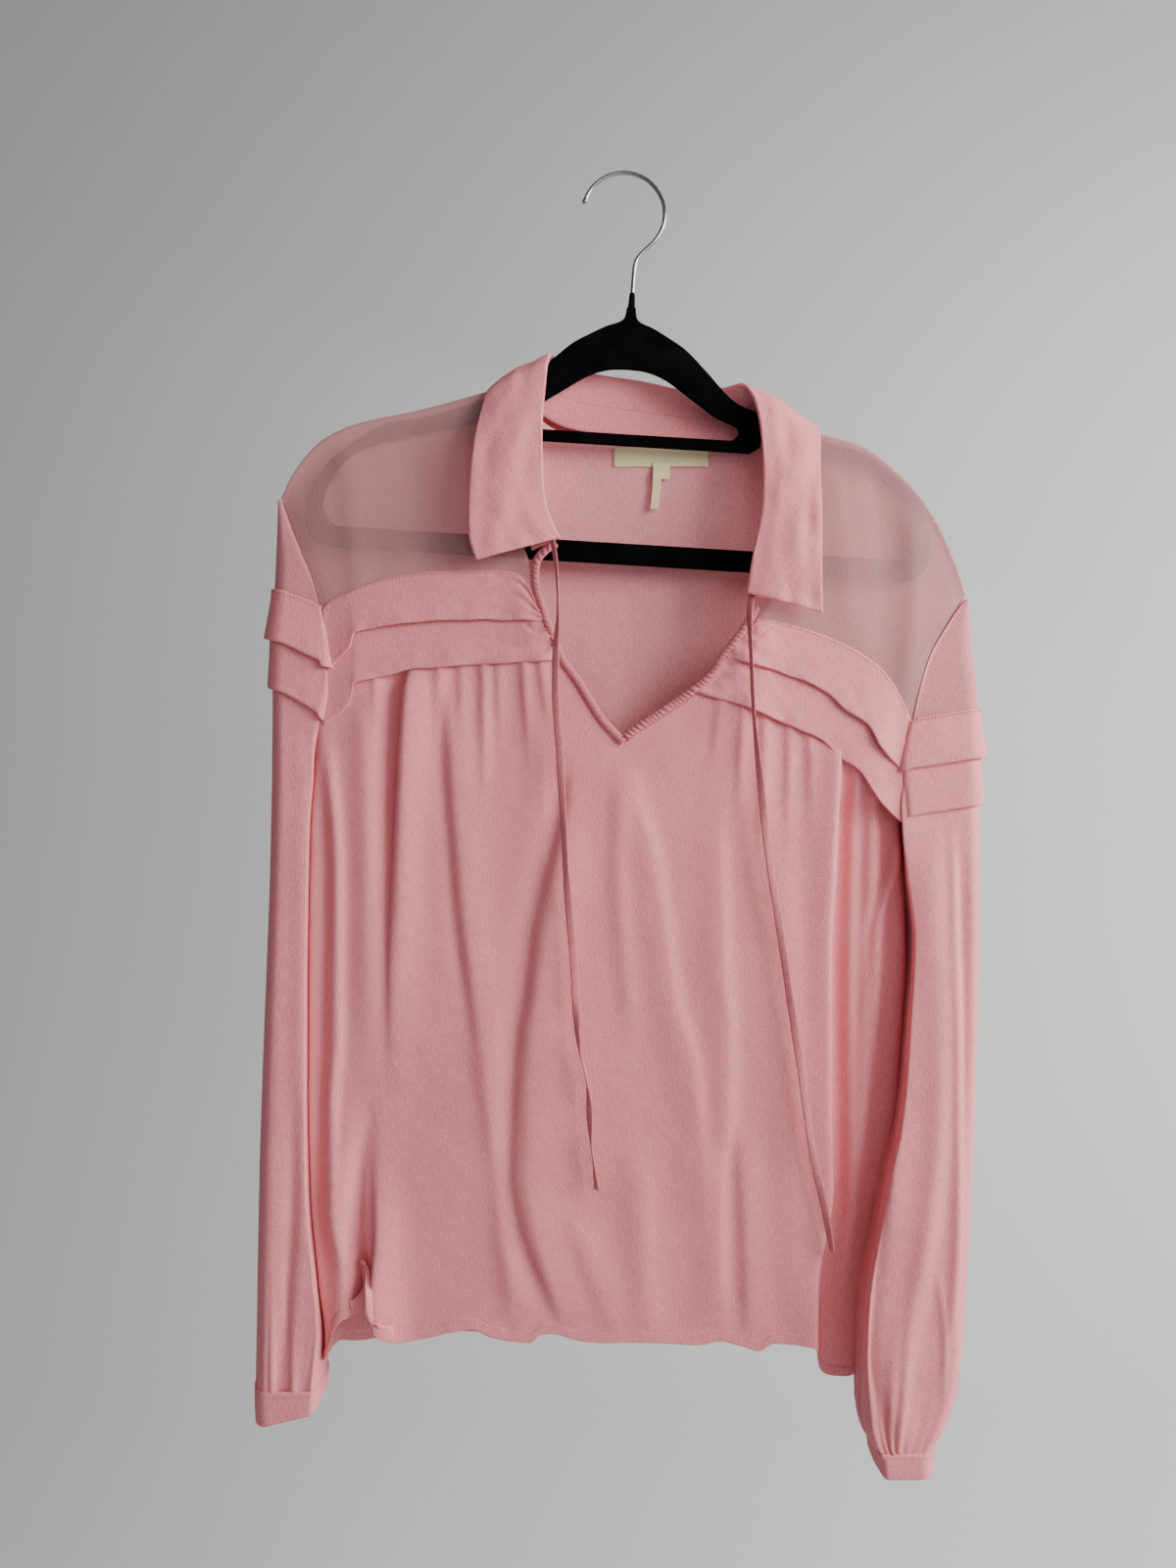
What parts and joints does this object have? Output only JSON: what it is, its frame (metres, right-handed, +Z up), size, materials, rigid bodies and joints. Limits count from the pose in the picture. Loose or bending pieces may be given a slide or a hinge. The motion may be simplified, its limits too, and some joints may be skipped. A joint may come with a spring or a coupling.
{
  "type": "blouse on a clothes hanger",
  "caption": "Long-sleeved blouse with collar, V neck, tie cords and flat tiers, hanging on a slim flocked hanger with a wire hook.",
  "frame": {"origin": "inner top of the hanger's hook, where it rests on what holds it", "axes": "+X to the viewer's right, +Y away from the viewer towards the wall, +Z up"},
  "size_m": [0.4956, 0.0835, 0.884],
  "materials": {
    "crepe": "matt pink crepe with a fine pebbled weave",
    "sheer_crepe": "the same pink crepe in one layer, a little see-through",
    "flocking": "short black flock over plastic",
    "hook": "bright plated wire",
    "label": "cream woven ribbon, bare"
  },
  "bodies": {
    "root": {"hanger_hook": "hook", "hanger_body": "flocking", "back": "crepe", "front_body": "crepe", "yoke_left": "sheer_crepe", "yoke_right": "sheer_crepe", "front_tier_left_upper": "crepe", "front_tier_left_lower": "crepe", "front_tier_right_upper": "crepe", "front_tier_right_lower": "crepe", "sleeve_cap_left": "sheer_crepe", "sleeve_cap_right": "sheer_crepe", "sleeve_left": "crepe", "sleeve_right": "crepe", "sleeve_tier_left_upper": "crepe", "sleeve_tier_left_lower": "crepe", "sleeve_tier_right_upper": "crepe", "sleeve_tier_right_lower": "crepe", "cuff_left": "crepe", "cuff_right": "crepe", "collar": "crepe", "collar_stand": "crepe", "neck_binding_left": "crepe", "neck_binding_right": "crepe", "label_main": "label", "label_size": "label", "label_loop": "label", "tie_left": "crepe", "tie_right": "crepe"}
  },
  "joints": []
}
